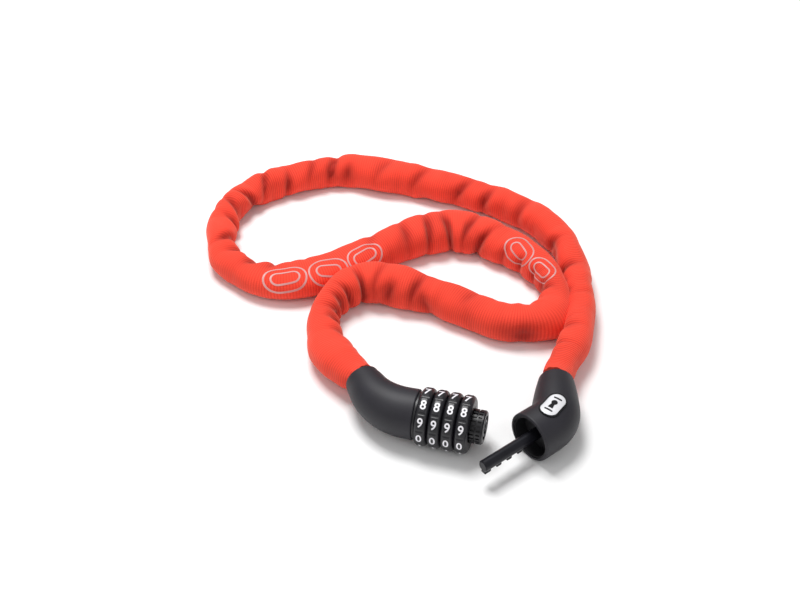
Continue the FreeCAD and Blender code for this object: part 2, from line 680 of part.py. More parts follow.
class Route:
    """Straight runs joined by tangent arcs, each as large as its two runs allow."""

    def __init__(self, points):
        self.pieces = []
        self.radii = []
        place = points[0]
        for before, corner, after in zip(points, points[1:], points[2:]):
            back, ahead = corner - before, after - corner
            turned = back.getAngle(ahead)
            shorter = min(back.Length, ahead.Length)
            trim = ARC_SHARE * shorter
            radius = trim / math.tan(turned / 2.0)
            self.radii.append(radius)
            enter = corner - back.normalize() * trim
            leave = corner + ahead.normalize() * trim
            self.pieces.append(("line", place, (enter - place)))
            self.pieces.append(("arc", enter, back, leave, ahead, radius, turned, corner))
            place = leave
        self.pieces.append(("line", place, points[-1] - place))
        self.length = sum(self.length_of(piece) for piece in self.pieces)

    @staticmethod
    def length_of(piece):
        """The length of one straight run or arc."""
        return piece[2].Length if piece[0] == "line" else piece[5] * piece[6]

    def at(self, s):
        """The point and the direction at a distance, carried straight on past both ends."""
        for index, piece in enumerate(self.pieces):
            length = self.length_of(piece)
            if s <= length or index == len(self.pieces) - 1:
                break
            s -= length
        if piece[0] == "line":
            along = Vector(piece[2]).normalize()
            return piece[1] + along * s, along
        _, enter, back, leave, ahead, radius, turned, corner = piece
        inward = (ahead - back * ahead.dot(back)).normalize()
        angle = s / radius
        centre = enter + inward * radius
        point = centre - inward * (radius * math.cos(angle)) + back * (radius * math.sin(angle))
        return point, back * math.cos(angle) + inward * math.sin(angle)

    def wire(self):
        """The route as one wire of lines and arcs."""
        edges = []
        for piece in self.pieces:
            if piece[0] == "line":
                edges.append(Part.LineSegment(piece[1], piece[1] + piece[2]).toShape())
            else:
                middle = self.middle(piece)
                edges.append(Part.Arc(piece[1], middle, piece[3]).toShape())
        return Part.Wire(edges)

    @staticmethod
    def middle(piece):
        """The middle point of an arc."""
        _, enter, _, leave, _, radius, turned, corner = piece
        chord = (enter + leave) * 0.5
        drop = (corner - chord).normalize() * (radius * (1.0 - math.cos(turned / 2.0)))
        return chord + drop


def tube(route, radius):
    """A round solid along a route."""
    start, along = route.at(0.0)
    ring = Part.Wire(Part.makeCircle(radius, start, along))
    return route.wire().makePipeShell([ring], True, False)


def link_shape():
    """One link lying flat, long side along X."""
    radius = size("wire") / 2.0
    bend = size("eye_radius") + radius
    side = size("link_inside") / 2.0 - size("eye_radius")
    pieces = []
    for sign in (-1, 1):
        start = Vector(sign * side, -sign * bend, 0)
        disc = Part.Face(Part.Wire(Part.makeCircle(radius, start, ALONG)))
        pieces.append(disc.revolve(Vector(sign * side, 0, 0), UP, 180))
        pieces.append(Part.makeCylinder(radius, 2 * side, Vector(-side, sign * bend, 0), ALONG))
    return pieces[0].fuse(pieces[1:]).removeSplitter()


def end_link_place(bend, place):
    """Where the link lies whose eye is round a housing's anchor pin."""
    eye = size("link_inside") / 2 - size("eye_radius")
    point, along = bend.at(bend.length - size("pin_depth") + eye)
    return place * Placement(point, Rotation(ALONG, along))


def make_sleeve(route):
    """The cloth sleeve, a round tube along the whole route."""
    outer = tube(route, size("sleeve_radius"))
    inner = tube(route, size("sleeve_radius") - size("sleeve_wall"))
    shape = outer.cut(inner)
    section = math.pi * (size("sleeve_radius") ** 2 - (size("sleeve_radius") - size("sleeve_wall")) ** 2)
    print("sleeve: length %.1f, volume %.0f, section x length %.0f" % (
        route.length, shape.Volume, section * route.length))
    print("arc radii:", " ".join("%.0f" % radius for radius in route.radii))
    add_shape("sleeve", shape)


def make_chain(route):
    """Links hung end to end from pin to pin, turned about the route by turns a quarter apart."""
    reach = size("sleeve_lap") + size("pin_depth") + size("eye_radius") - size("link_inside") / 2
    first = -reach
    last = route.length + reach
    count = int(math.ceil((last - first) / (size("link_inside") - size("link_slack"))))
    pitch = (last - first) / count
    link = link_shape()
    links = []
    for number in range(count + 1):
        middle = first + number * pitch
        low, _ = route.at(middle - pitch / 2)
        high, _ = route.at(middle + pitch / 2)
        along = (high - low).normalize()
        ramp = min(min(number, count - number) / RAMP_LINKS, 1.0)
        roll = 90.0 * (number % 2) + 45.0 * ramp
        side = UP.cross(along).normalize()
        flat = Rotation(along, side, along.cross(side), "XYZ")
        copy = link.copy()
        copy.Placement = Placement((low + high) * 0.5, Rotation(along, roll) * flat)
        links.append(copy)
    add_shape("end_link_lock", link.copy(), end_link_place(lock_bend, lock_place))
    add_shape("end_link_cup", link.copy(), end_link_place(cup_bend, cup_place))
    inner = links[1:-1]
    share = int(math.ceil(len(inner) / float(LINK_GROUPS)))
    for group in range(LINK_GROUPS):
        add_shape("chain_links_%d" % (group + 1),
                  Part.makeCompound(inner[group * share:(group + 1) * share]))
    print("links:", len(links), "pitch %.2f" % pitch)


def neck_points(bend, place, lead):
    """Two points straight out of a neck: the sleeve's end, and one a lead from the mouth."""
    point, along = bend.at(bend.length)
    return [place.multVec(point + along * away) for away in (size("sleeve_lap"), lead)]


rest_height = size("sleeve_radius") - size("dial_radius")
sleeve_route = Route(neck_points(lock_bend, lock_place, size("lock_lead"))
                     + [Vector(x, y, rest_height + lift) for x, y, lift in ROUTE]
                     + neck_points(cup_bend, cup_place, size("cup_lead"))[::-1])
make_sleeve(sleeve_route)
make_chain(sleeve_route)

# ---------------------------------------------------------------- checks and export
doc.recompute()
broken = [item.Name for item in doc.Objects if {"Invalid", "Error"} & set(item.State)]
if broken:
    raise RuntimeError("failed objects: " + ", ".join(broken))
nodes = [item for item in doc.RootObjects if hasattr(item, "Shape")]
for node in nodes:
    if node.Shape.isNull() or not node.Shape.isValid():
        raise RuntimeError("bad shape: " + node.Label)
os.makedirs("parts", exist_ok=True)
for node in nodes:
    node.Shape.exportStep("parts/%s.step" % node.Label)
print("nodes:", len(nodes))
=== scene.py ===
"""The looks of a four-dial chain lock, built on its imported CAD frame. Lengths are in metres."""

import math

import bmesh
import bpy
import numpy as np
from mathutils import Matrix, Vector
from mathutils.bvhtree import BVHTree


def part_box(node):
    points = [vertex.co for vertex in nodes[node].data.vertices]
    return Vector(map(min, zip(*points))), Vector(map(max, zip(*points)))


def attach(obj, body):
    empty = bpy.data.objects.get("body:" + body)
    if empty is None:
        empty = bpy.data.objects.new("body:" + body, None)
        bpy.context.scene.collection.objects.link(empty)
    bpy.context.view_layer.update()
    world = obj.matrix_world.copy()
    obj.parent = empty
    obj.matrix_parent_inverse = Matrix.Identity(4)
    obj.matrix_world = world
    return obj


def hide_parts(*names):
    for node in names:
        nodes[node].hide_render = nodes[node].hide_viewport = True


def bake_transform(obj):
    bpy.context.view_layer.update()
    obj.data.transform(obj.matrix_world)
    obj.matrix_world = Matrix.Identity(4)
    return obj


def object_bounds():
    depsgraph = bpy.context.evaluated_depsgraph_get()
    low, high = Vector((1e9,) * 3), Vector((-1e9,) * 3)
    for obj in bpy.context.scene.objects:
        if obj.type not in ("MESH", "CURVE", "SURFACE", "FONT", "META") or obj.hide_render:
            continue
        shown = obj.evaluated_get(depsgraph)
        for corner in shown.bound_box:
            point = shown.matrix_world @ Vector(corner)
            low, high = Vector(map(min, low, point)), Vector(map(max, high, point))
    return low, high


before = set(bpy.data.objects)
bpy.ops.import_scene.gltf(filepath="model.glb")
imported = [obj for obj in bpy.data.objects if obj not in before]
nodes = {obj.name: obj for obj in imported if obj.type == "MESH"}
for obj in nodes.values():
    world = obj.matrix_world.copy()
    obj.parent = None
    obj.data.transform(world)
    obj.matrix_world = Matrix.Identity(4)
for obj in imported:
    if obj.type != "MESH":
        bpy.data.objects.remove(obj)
cad_low, cad_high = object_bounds()

MM = 0.001
FLOOR = cad_low[2]


# ---------------------------------------------------------------- camera
def make_camera():
    """A long lens, looking down 41 degrees from 15 degrees right of the front."""
    data = bpy.data.cameras.new("camera")
    data.lens = 67.4
    data.sensor_width = 36.0
    data.clip_start = 0.01
    camera = bpy.data.objects.new("camera", data)
    camera.location = (0.0948, -0.5194, 0.5427)
    camera.rotation_euler = (math.radians(49.0), 0.0, math.radians(15.0))
    bpy.context.scene.collection.objects.link(camera)
    bpy.context.scene.camera = camera


make_camera()


# ---------------------------------------------------------------- the sleeve's line
# The CAD route's control points, from the lock's neck to the bolt housing's neck. Where two
# runs lie side by side, and by the necks, they are moved by up to 5 mm.
ROUTE = np.array([
    (-70.4, 19.2, 0.0), (-85.2, 28.6, 0.0), (-98.4, 45.8, -3.4), (-106.0, 65.5, -5.6),
    (-103.0, 85.0, -5.8), (-90.5, 98.5, -5.8), (-73.0, 98.8, -5.8), (-56.5, 97.8, -5.8),
    (-37.5, 95.0, -5.8), (-18.0, 87.4, -5.8), (2.0, 85.2, -5.8), (15.0, 96.0, -5.8),
    (15.5, 115.5, -5.8), (7.0, 132.4, -5.8), (-10.8, 146.6, -5.8), (-30.5, 155.2, -5.8),
    (-52.5, 158.4, -5.8), (-71.5, 148.0, -5.8), (-87.5, 132.0, -5.8), (-103.5, 113.4, -5.8),
    (-120.5, 97.3, -5.8), (-140.0, 87.3, -5.8), (-162.5, 90.2, -5.8), (-178.2, 102.4, -5.8),
    (-186.5, 121.0, -5.8), (-189.0, 144.0, -5.8), (-180.5, 165.8, -5.8), (-161.5, 183.4, -5.8),
    (-139.5, 198.0, -5.8), (-113.5, 201.0, -5.8), (-85.0, 200.3, -5.8), (-57.5, 197.3, -5.8),
    (-31.5, 191.8, -5.8), (-8.2, 181.8, -5.8), (9.7, 164.7, -5.8), (20.2, 144.0, -5.4),
    (27.5, 122.0, -4.4), (31.5, 99.5, -3.2), (32.2, 79.0, -2.2), (28.6, 60.0, -1.65),
    (27.6, 46.6, -1.65),
]) * MM


def spline_points(points):
    """The points of a smooth NURBS line of order 3 with these control points."""
    curve = bpy.data.curves.new("sleeve_line", "CURVE")
    curve.dimensions = "3D"
    curve.resolution_u = 16
    spline = curve.splines.new("NURBS")
    spline.points.add(len(points) - 1)
    spline.points.foreach_set("co", np.hstack([points, np.ones((len(points), 1))]).ravel())
    spline.order_u = 3
    spline.use_endpoint_u = True
    holder = bpy.data.objects.new("sleeve_line", curve)
    bpy.context.scene.collection.objects.link(holder)
    bpy.context.view_layer.update()
    mesh = bpy.data.meshes.new_from_object(holder)
    line = np.empty(len(mesh.vertices) * 3)
    mesh.vertices.foreach_get("co", line)
    bpy.data.objects.remove(holder)
    bpy.data.meshes.remove(mesh)
    return line.reshape(-1, 3)


LINE = spline_points(ROUTE)
LINE_AT = np.concatenate([[0.0], np.cumsum(np.linalg.norm(np.diff(LINE, axis=0), axis=1))])
LENGTH = float(LINE_AT[-1])


def unit(v):
    """Vectors along the last axis, made one long."""
    return v / np.linalg.norm(v, axis=-1, keepdims=True)


def on_line(values, s):
    """A per-point value of the line, one or three numbers wide, read at distances s."""
    values = np.asarray(values, float)
    if values.ndim == 1:
        return np.interp(s, LINE_AT, values)
    return np.stack([np.interp(s, LINE_AT, values[:, k]) for k in range(values.shape[1])], -1)


def smoothed(values, reach):
    """Values per point of the line, averaged over a Gaussian window of a given reach."""
    gap = LINE_AT[:, None] - LINE_AT[None, :]
    weight = np.exp(-((gap / reach) ** 2))
    return (weight @ values) / weight.sum(axis=1, keepdims=values.ndim > 1)


AHEAD = unit(smoothed(unit(np.gradient(LINE, LINE_AT, axis=0)), 3.0 * MM))
HEADING = np.unwrap(np.arctan2(AHEAD[:, 1], AHEAD[:, 0]))
CURVATURE = np.gradient(smoothed(HEADING, 6.0 * MM), LINE_AT)

# ---------------------------------------------------------------- the sleeve's section
# The flattened cloth tube: distance along, half width, half height, and how far the cloth sinks
# between the chain's links, all in mm.
SECTIONS = np.array([
    (0, 8.2, 8.2, 0.0), (8, 9.6, 8.8, 0.3), (18, 11.2, 9.4, 0.5), (32, 11.8, 9.4, 0.5),
    (46, 10.2, 9.4, 0.9), (60, 8.4, 9.4, 1.2), (72, 8.4, 10.0, 1.0), (86, 10.2, 11.0, 0.7),
    (104, 12.2, 11.6, 0.4), (118, 12.0, 11.2, 0.6), (136, 10.4, 10.0, 1.1), (160, 10.6, 9.6, 0.8),
    (185, 10.8, 9.8, 0.6), (205, 10.6, 9.8, 1.0), (222, 9.0, 9.8, 1.2), (236, 8.6, 9.8, 1.2),
    (258, 9.6, 9.6, 0.8), (278, 12.0, 9.6, 0.8), (300, 13.4, 10.4, 1.3), (325, 12.8, 11.0, 1.1),
    (350, 11.2, 10.2, 0.7), (385, 12.0, 9.0, 0.3), (415, 12.6, 8.6, 0.2), (436, 10.8, 8.6, 0.6),
    (452, 9.4, 8.8, 1.4), (480, 8.4, 9.0, 2.0), (540, 8.2, 9.2, 2.0), (580, 8.8, 9.4, 1.8),
    (612, 10.8, 9.8, 1.4), (660, 9.4, 9.2, 1.2), (700, 9.2, 9.2, 1.2), (740, 8.4, 9.4, 1.2),
    (780, 8.2, 9.2, 1.0), (812, 8.6, 9.2, 0.5), (832, 9.0, 9.0, 0.3), (846, 8.2, 8.2, 0.0),
    (900, 8.2, 8.2, 0.0),
]) * MM

# Large soft creases in the cloth: distance along in mm, side angle in degrees (0 is the right
# side going along, 90 the top), depth in mm and, below 0, a bulge, half length along in mm, half
# reach round in degrees, and slant.
CREASES = np.array([
    (38, 10, 2.0, 3.4, 50, 0.10), (51, 0, 3.2, 2.8, 55, 0.0), (61, 0, 4.2, 2.6, 65, 0.0),
    (70, 0, 4.8, 2.6, 70, 0.0), (79, 15, 4.4, 2.2, 60, -0.1), (91, 30, 4.6, 2.2, 75, 0.0),
    (104, 60, 2.0, 2.6, 60, 0.15), (112, 10, 2.6, 3.4, 45, 0.1), (127, 50, 3.4, 2.4, 60, 0.1),
    (134, 0, 2.6, 4.0, 45, -0.2), (158, 100, 1.2, 3.4, 50, 0.1), (182, 10, 1.2, 5.0, 40, 0.0),
    (190, 350, 3.6, 5.0, 45, 0.0), (205, 342, -3.6, 4.8, 40, 0.0), (224, 178, 4.2, 2.6, 55, 0.0),
    (232, 175, 3.6, 2.6, 50, 0.1), (245, 178, 2.4, 2.6, 45, 0.0), (259, 182, 2.8, 2.4, 45, 0.1),
    (272, 178, 2.0, 3.0, 45, 0.1), (290, 168, 4.2, 2.4, 70, 0.2), (300, 110, 3.2, 2.4, 75, 0.1),
    (314, 150, 4.6, 2.2, 75, -0.1), (328, 130, 3.8, 2.2, 80, 0.1), (342, 110, 2.6, 2.8, 70, 0.1),
    (361, 60, 1.8, 5.0, 60, 0.3), (380, 200, 1.4, 4.0, 50, 0.1), (424, 20, 2.4, 3.6, 55, 0.2),
    (438, 30, 3.0, 3.4, 60, 0.2), (456, 10, 3.6, 2.6, 65, 0.1), (472, 40, 4.2, 2.4, 65, -0.2),
    (489, 15, 4.0, 2.4, 60, 0.2), (503, 60, 3.4, 2.6, 60, 0.2), (519, 20, 4.6, 2.2, 70, -0.2),
    (534, 60, 3.6, 2.4, 65, 0.2), (549, 10, 3.6, 2.4, 60, 0.1), (566, 60, 2.6, 3.0, 60, 0.2),
    (580, 65, 4.2, 2.4, 75, 0.15), (590, 20, 2.2, 3.6, 50, 0.1), (612, 60, 1.8, 3.6, 60, 0.2),
    (636, 50, 2.6, 3.4, 60, 0.2), (664, 40, 3.0, 3.0, 60, 0.2), (681, 30, 3.8, 3.0, 60, 0.1),
    (706, 50, 2.6, 3.6, 60, 0.0), (742, 20, 2.4, 3.2, 60, 0.1), (768, 30, 3.4, 2.8, 60, 0.0),
    (790, 10, 2.2, 3.6, 50, 0.0), (822, 40, 1.6, 2.4, 60, 0.0), (838, 20, 1.8, 2.0, 70, 0.0),
])
CREASE_SLANT = 0.28
LINK_PITCH = 15.35 * MM
CHAIN_HALF = 5.7 * MM
LINK_CORNER = 1.2 * MM
NECK_HALF = 7.5 * MM
NECK_REACH = 9.0 * MM
NECK_PLEATS = 11
SETTLE_MOST = 2.5 * MM
SECTION_POWER = 2.3
# The fold depth that gets the full painted shade in the cloth's folds.
FOLD_SHADE_DEEPEST = 3.0 * MM


def small_creases():
    """Seeded light creases all along, more of them and deeper on the inside of the bends."""
    dice = np.random.default_rng(7)
    count = 190
    along = np.sort(dice.uniform(0.012, LENGTH - 0.012, count))
    bend = on_line(CURVATURE, along)
    inner = np.where(bend > 0, 180.0, 0.0)
    tight = np.clip(np.abs(bend) / 28.0, 0.0, 1.0)
    pull = dice.random(count) < 0.35 + 0.6 * tight
    angle = np.where(pull, inner + dice.normal(0.0, 42.0, count), dice.uniform(-20, 200, count))
    depth = (0.16 + 0.45 * dice.random(count) ** 2) * (1.0 + 1.2 * tight)
    sign = np.where(dice.random(count) < 0.78, 1.0, -0.7)
    return np.stack([along / MM, angle, depth * sign, dice.uniform(2.0, 4.6, count),
                     dice.uniform(24, 60, count), dice.normal(0.0, 0.2, count)], -1)


SMALL = small_creases()


def facet_knots():
    """Seeded knots for six strips round the sleeve: where each strip's height changes slope."""
    dice = np.random.default_rng(21)
    strips = []
    for _ in range(6):
        gaps = dice.uniform(7.0 * MM, 20.0 * MM, 90)
        strips.append((np.cumsum(gaps) - 10.0 * MM, dice.uniform(-1.0, 1.0, 90)))
    return strips


FACETS = facet_knots()


def facets(s, angle):
    """Flat-faced unevenness from -1 to 1: each strip's height runs straight from knot to knot,
    and the strips' heights are mixed round the section by the cosine of the angle between."""
    total, share = 0.0, 0.0
    for k, (knots, values) in enumerate(FACETS):
        near = np.clip(np.cos(angle - k * math.pi / 3.0), 0.0, 1.0) ** 2
        total = total + near * np.interp(s, knots, values)
        share = share + near
    return total / share


def dents(marks, s, angle):
    """The sum of the marks' dents, in metres: each falls off along the sleeve and round it.

    A dent is depth times exp(-|distance across the crease / its half length| ^ 1.6) times
    exp(-(angle from its middle / its reach) ^ 2); slant turns the crease out of square."""
    total = np.zeros(np.broadcast(s, angle).shape)
    for at, middle, depth, half, reach, slant in marks:
        turn = (np.degrees(angle) - middle + 180.0) % 360.0 - 180.0
        across = (s / MM - at - slant * turn * CREASE_SLANT) / half
        total += depth * MM * np.exp(-np.abs(across) ** 1.6 - (turn / reach) ** 2)
    return total


def fold_depth(s, angle):
    """How far in the cloth lies at a point, from 0 on its crowns to 1 in its deepest folds; it
    sets the painted shade in the folds.
    """
    depth = dents(CREASES, s, angle) + dents(SMALL, s, angle) - 0.6 * MM * facets(s, angle)
    return np.clip(depth / FOLD_SHADE_DEEPEST, 0.0, 1.0)


def ends_share(s):
    """0 along the sleeve and up to 1 where it is drawn together inside each neck."""
    near = np.minimum(s, LENGTH - s)
    return np.clip(1.0 - near / NECK_REACH, 0.0, 1.0) ** 2


def settled(s):
    """How far the sleeve, with the chain in it, lies below its line to rest on the floor: the
    line's height less half the sleeve's, within limits, and nothing inside the necks."""
    gap = on_line(LINE[:, 2], s) - np.interp(s, SECTIONS[:, 0], SECTIONS[:, 2]) - FLOOR
    return np.clip(gap, -SETTLE_MOST, SETTLE_MOST) * (1.0 - ends_share(s))


def sleeve_point(s, angle, lift=0.0):
    """A point of the sleeve's surface at distance s and side angle, lifted off it by lift.

    The section is a superellipse (|cos / width| ^ n + |sin / height| ^ n) ^ (-1 / n), with the
    links' bulges, the facets and the creases. A soft maximum of it and the chain's room keeps
    the links inside; pleats take over in the necks. Last, a soft maximum of each height and the
    floor's lays it down."""
    s, angle = np.broadcast_arrays(np.asarray(s, float), np.asarray(angle, float))
    wide = np.interp(s, SECTIONS[:, 0], SECTIONS[:, 1])
    high = np.interp(s, SECTIONS[:, 0], SECTIONS[:, 2])
    c, n = np.cos(angle), np.sin(angle)
    power = SECTION_POWER
    radius = (np.abs(c / wide) ** power + np.abs(n / high) ** power) ** (-1.0 / power)
    sunk = np.interp(s, SECTIONS[:, 0], SECTIONS[:, 3])
    wave = 0.5 + 0.5 * np.cos(np.pi * s / LINK_PITCH + 0.6 * np.sin(s / (23.0 * MM)))
    beside = np.abs(c) ** 1.5 * (1.0 - wave ** 0.6)
    above = np.abs(n) ** 1.5 * (1.0 - (1.0 - wave) ** 0.6)
    radius = radius + 0.4 * sunk - sunk * (beside + above)
    radius = radius + (0.35 * MM + 0.45 * sunk) * facets(s, angle)
    radius = radius - dents(CREASES, s, angle) - dents(SMALL, s, angle)
    room = CHAIN_HALF + LINK_CORNER * np.sin(2.0 * angle) ** 2
    radius = room + 0.5 * (radius - room + np.sqrt((radius - room) ** 2 + (0.5 * MM) ** 2))
    pleat = 0.22 * MM * np.cos(NECK_PLEATS * angle + 1.7)
    share = ends_share(s)
    radius = radius * (1.0 - share) + (NECK_HALF + pleat) * share + lift
    middle, ahead = on_line(LINE, s), unit(on_line(AHEAD, s))
    right = unit(np.cross(ahead, (0.0, 0.0, 1.0)))
    up = np.cross(right, ahead)
    place = middle + radius[..., None] * (c[..., None] * right + n[..., None] * up)
    place[..., 2] -= settled(s)
    above = place[..., 2] - FLOOR
    place[..., 2] = FLOOR + 0.05 * MM + 0.5 * (above + np.sqrt(above ** 2 + (0.6 * MM) ** 2))
    return place


# ---------------------------------------------------------------- mesh and material helpers
def new_object(name, points, faces, smooth=True):
    """A mesh object at the origin from points and faces."""
    mesh = bpy.data.meshes.new(name)
    mesh.from_pydata(np.asarray(points).reshape(-1, 3), [], np.asarray(faces).tolist())
    mesh.validate()
    mesh.shade_smooth() if smooth else mesh.shade_flat()
    item = bpy.data.objects.new(name, mesh)
    bpy.context.scene.collection.objects.link(item)
    return item


def face_out(mesh):
    """Turn a mesh's faces outwards."""
    turned = bmesh.new()
    turned.from_mesh(mesh)
    bmesh.ops.recalc_face_normals(turned, faces=turned.faces[:])
    turned.to_mesh(mesh)
    turned.free()


def grid_faces(rows, columns):
    """The quads of a grid, wrapped round from the last column to the first."""
    row = np.arange(rows - 1)[:, None] * columns
    column = np.arange(columns)[None, :]
    after = (column + 1) % columns
    quads = np.stack([row + column, row + after, row + columns + after, row + columns + column])
    return quads.reshape(4, -1).T


def set_uv(item, uv):
    """A UV map from one pair of numbers per vertex."""
    layer = item.data.uv_layers.new(name="UVMap")
    corner = np.empty(len(item.data.loops), dtype=np.int32)
    item.data.loops.foreach_get("vertex_index", corner)
    layer.data.foreach_set("uv", np.asarray(uv, np.float32)[corner].ravel())


def linear(code):
    """The linear colour of an sRGB hex value."""
    values = [int(code[k:k + 2], 16) / 255.0 for k in (1, 3, 5)]
    return tuple(v / 12.92 if v <= 0.04045 else ((v + 0.055) / 1.055) ** 2.4
                 for v in values) + (1.0,)


def add(tree, kind, links=None, **settings):
    """A node of a kind, with its inputs linked or set, and its own settings."""
    node = tree.nodes.new("ShaderNode" + kind)
    for key, value in settings.items():
        setattr(node, key, value)
    for key, value in (links or {}).items():
        socket = node.inputs[key]
        if isinstance(value, bpy.types.NodeSocket):
            tree.links.new(value, socket)
        else:
            socket.default_value = value
    return node


def material(name, **values):
    """A new material with its principled shader's plain values set; gives the tree as well."""
    new = bpy.data.materials.new(name)
    new.use_nodes = True
    shader = new.node_tree.nodes["Principled BSDF"]
    for key, value in values.items():
        shader.inputs[key.replace("_", " ")].default_value = value
    new.diffuse_color = shader.inputs["Base Color"].default_value
    return new, new.node_tree, shader


def moulded(name, dark, light, rough, grain, bump):
    """Moulded plastic or a like finish: two close tones in soft clouds, and a fine grain in
    bump and roughness."""
    new, tree, shader = material(name, Roughness=rough)
    place = add(tree, "TexCoord").outputs["Object"]
    clouds = add(tree, "TexNoise", {"Vector": place, "Scale": 60.0, "Detail": 3.0})
    tone = add(tree, "ValToRGB", {"Fac": clouds.outputs["Fac"]})
    tone.color_ramp.elements[0].color = linear(dark)
    tone.color_ramp.elements[1].color = linear(light)
    tone.color_ramp.elements[0].position = 0.35
    tone.color_ramp.elements[1].position = 0.65
    fine = add(tree, "TexNoise", {"Vector": place, "Scale": 1.0 / grain, "Detail": 2.0})
    gloss = add(tree, "MapRange", {"Value": fine.outputs["Fac"], "To Min": rough - 0.05,
                                   "To Max": rough + 0.05})
    lift = add(tree, "Bump", {"Height": fine.outputs["Fac"], "Strength": bump,
                              "Distance": 0.1 * MM})
    tree.links.new(tone.outputs["Color"], shader.inputs["Base Color"])
    tree.links.new(gloss.outputs["Result"], shader.inputs["Roughness"])
    tree.links.new(lift.outputs["Normal"], shader.inputs["Normal"])
    return new


# Soft-touch coated ABS: a matt, faintly violet black that gives a broad soft sheen.
soft_touch = moulded("soft_touch_coated_abs", "#15131b", "#1b1922", 0.56, 0.35 * MM, 0.06)
# Moulded ABS dials: a satin black, smoother than the housing, so their edges catch light.
dial_abs = moulded("moulded_black_abs", "#121117", "#18171d", 0.38, 0.5 * MM, 0.03)
# Moulded nylon: a deeper satin black that looks a little waxy.
nylon = moulded("moulded_black_nylon", "#0f0e12", "#151419", 0.38, 0.5 * MM, 0.04)
# Matt moulded liner that hardly reflects.
liner = moulded("matt_moulded_liner", "#101014", "#16151a", 0.6, 0.4 * MM, 0.05)
# Black oxide steel: a dark satin metal skin.
black_oxide = moulded("black_oxide_steel", "#16161c", "#1f1f26", 0.34, 0.25 * MM, 0.05)
# Zinc plated steel: pale grey, slightly mottled metal.
zinc_plate = moulded("zinc_plated_steel", "#b4b6b8", "#c9cbcd", 0.3, 0.6 * MM, 0.04)
# Die-cast zinc alloy: dull mid grey metal.
die_cast = moulded("die_cast_zinc", "#5a5a5e", "#6c6c70", 0.42, 0.4 * MM, 0.06)
# Spring steel strip: bright, cleanly rolled.
spring_strip = moulded("rolled_spring_steel", "#9c9da0", "#acadb0", 0.25, 0.3 * MM, 0.02)
# Satin anodised aluminium badge: silvery white.
anodised = moulded("satin_anodised_aluminium", "#e6e6ea", "#f0f0f4", 0.4, 0.2 * MM, 0.02)
# Gloss moulded trim round the badge.
gloss_trim = moulded("gloss_moulded_trim", "#0e0e11", "#141418", 0.2, 0.6 * MM, 0.01)
# Pad-printed white ink of the digits, a little raised.
white_ink = moulded("pad_printed_white_ink", "#eceaf0", "#f8f7fa", 0.45, 0.3 * MM, 0.03)
# Screen-printed reflective grey ink of the sleeve.
grey_ink = moulded("screen_printed_grey_ink", "#c58684", "#d29a97", 0.5, 0.3 * MM, 0.05)
for metal, share in ((zinc_plate, 1.0), (die_cast, 0.8), (spring_strip, 1.0), (anodised, 0.35),
                     (black_oxide, 0.5)):
    metal.node_tree.nodes["Principled BSDF"].inputs["Metallic"].default_value = share

SLOT_FINISH = {
    "soft_black": soft_touch, "dial_black": dial_abs, "ring_black": nylon,
    "liner_black": liner, "bolt_black": black_oxide, "zinc": zinc_plate,
    "core_metal": die_cast, "spring_steel": spring_strip, "badge_silver": anodised,
    "badge_black": gloss_trim,
}


